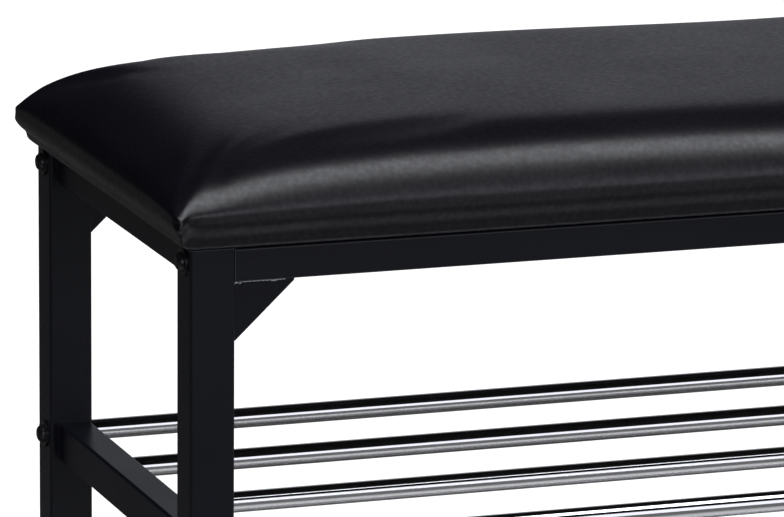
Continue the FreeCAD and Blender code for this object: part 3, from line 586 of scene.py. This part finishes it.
bpy.ops.mesh.primitive_plane_add(size=FLOOR_SIZE)
floor = bpy.context.object
floor.name = "studio_floor"
floor_paint = bpy.data.materials.new("pale_floor")
floor_paint.use_nodes = True
floor_tree = floor_paint.node_tree
floor_shader = floor_tree.nodes["Principled BSDF"]
floor_shader.inputs["Base Color"].default_value = (0.88, 0.88, 0.88, 1.0)
floor_shader.inputs["Roughness"].default_value = 0.9
floor_shader.inputs["Specular IOR Level"].default_value = 0.0
floor_path = floor_tree.nodes.new("ShaderNodeLightPath")
mirrored_floor = floor_tree.nodes.new("ShaderNodeBsdfDiffuse")
floor_place = floor_tree.nodes.new("ShaderNodeTexCoord")
floor_axes = floor_tree.nodes.new("ShaderNodeSeparateXYZ")
floor_tree.links.new(floor_place.outputs["Object"], floor_axes.inputs["Vector"])

# Only the camera sees the pale floor: reflections and bounced light get a darker grey with painted shade
# in it, lightest in a strip just in front of the bench, darker farther out in front and to the left, and
# darkest as a painted shadow under and behind the bench.
floor_shade = FLOOR_SHADE
# Each row: the axis, where the fade starts and ends, and the painted shade at each end.
for axis, start, end, shade_start, shade_end in (
    ("Y", -0.48, -0.20, 0.16, 1.0),
    ("Y", -0.24, 0.10, 1.0, 0.12),
    ("X", -0.75, -0.42, 0.50, 1.0),
):
    fade = floor_tree.nodes.new("ShaderNodeMapRange")
    fade.inputs["From Min"].default_value = start
    fade.inputs["From Max"].default_value = end
    fade.inputs["To Min"].default_value = shade_start
    fade.inputs["To Max"].default_value = shade_end
    floor_tree.links.new(floor_axes.outputs[axis], fade.inputs["Value"])
    floor_shade = sum_up(floor_tree, "MULTIPLY", fade.outputs["Result"], floor_shade)
floor_tint = floor_tree.nodes.new("ShaderNodeVectorMath")
floor_tint.operation = "SCALE"
floor_tint.inputs[0].default_value = FLOOR_TINT
floor_tree.links.new(floor_shade, floor_tint.inputs["Scale"])
floor_tree.links.new(floor_tint.outputs["Vector"], mirrored_floor.inputs["Color"])
floor_choice = floor_tree.nodes.new("ShaderNodeMixShader")
floor_tree.links.new(floor_path.outputs["Is Camera Ray"], floor_choice.inputs["Fac"])
floor_tree.links.new(mirrored_floor.outputs["BSDF"], floor_choice.inputs[1])
floor_tree.links.new(floor_shader.outputs["BSDF"], floor_choice.inputs[2])
floor_end = floor_tree.nodes["Material Output"]
floor_tree.links.new(floor_choice.outputs["Shader"], floor_end.inputs["Surface"])
floor.data.materials.append(floor_paint)

room = bpy.data.worlds.new("studio_room")
bpy.context.scene.world = room
room.use_nodes = True
room.node_tree.nodes["Background"].inputs["Color"].default_value = (0.5, 0.52, 0.6, 1.0)
room.node_tree.nodes["Background"].inputs["Strength"].default_value = 0.012


def soft_box(name, place, target, width, height, radiance, glossy=True, tint=(1.0, 1.0, 1.0)):
    """A rectangular lamp of an even brightness, which the camera doesn't see."""
    lamp = bpy.data.lights.new(name, "AREA")
    lamp.shape = "RECTANGLE"
    lamp.size = width
    lamp.size_y = height
    lamp.energy = radiance * math.pi * width * height
    lamp.color = tint
    holder = bpy.data.objects.new(name, lamp)
    bpy.context.scene.collection.objects.link(holder)
    aim = (Vector(target) - Vector(place)).to_track_quat("-Z", "Y")
    holder.matrix_world = Matrix.Translation(place) @ aim.to_matrix().to_4x4()
    holder.visible_camera = False
    holder.visible_glossy = glossy


soft_box(
    "overhead_box", (0.35, -0.88, 2.25), (0.35, -0.88, 0.0), 2.2, 1.25, 3.4, tint=(0.985, 1.0, 1.05)
)
soft_box("front_box", (0.3, -5.2, 1.45), (0.3, 0.0, 1.45), 9.0, 3.1, 1.05, tint=(0.96, 0.975, 1.08))
soft_box("rear_box", (3.15, 5.2, 1.7), (3.15, 0.0, 1.7), 4.6, 3.4, 0.28, tint=(0.98, 1.0, 1.08))
soft_box("floor_wash", (0.0, 3.5, 7.0), (0.0, 3.5, 0.0), 12.0, 12.0, 2.6, glossy=False)

CAMERA_LENS = 288.69
CAMERA_PLACE = (-0.9906, -3.1499, 0.7499)  # from the left front leg's outer front top corner
CAMERA_TURN = -19.34
CAMERA_DIP = 12.85
CAMERA_ROLL = 0.47

leg_low, leg_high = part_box("leg_front_left")
camera_data = bpy.data.cameras.new("camera")
camera_data.lens = CAMERA_LENS
camera_data.sensor_width = 36.0
camera_data.clip_end = 200.0
camera = bpy.data.objects.new("camera", camera_data)
bpy.context.scene.collection.objects.link(camera)
camera.matrix_world = (
    Matrix.Translation(Vector((leg_low.x, leg_low.y, leg_high.z)) + Vector(CAMERA_PLACE))
    @ Matrix.Rotation(math.radians(CAMERA_TURN), 4, "Z")
    @ Matrix.Rotation(math.radians(90 - CAMERA_DIP), 4, "X")
    @ Matrix.Rotation(math.radians(CAMERA_ROLL), 4, "Z")
)
bpy.context.scene.camera = camera
bpy.context.scene.view_settings.view_transform = "Standard"
bpy.context.scene.view_settings.look = "None"
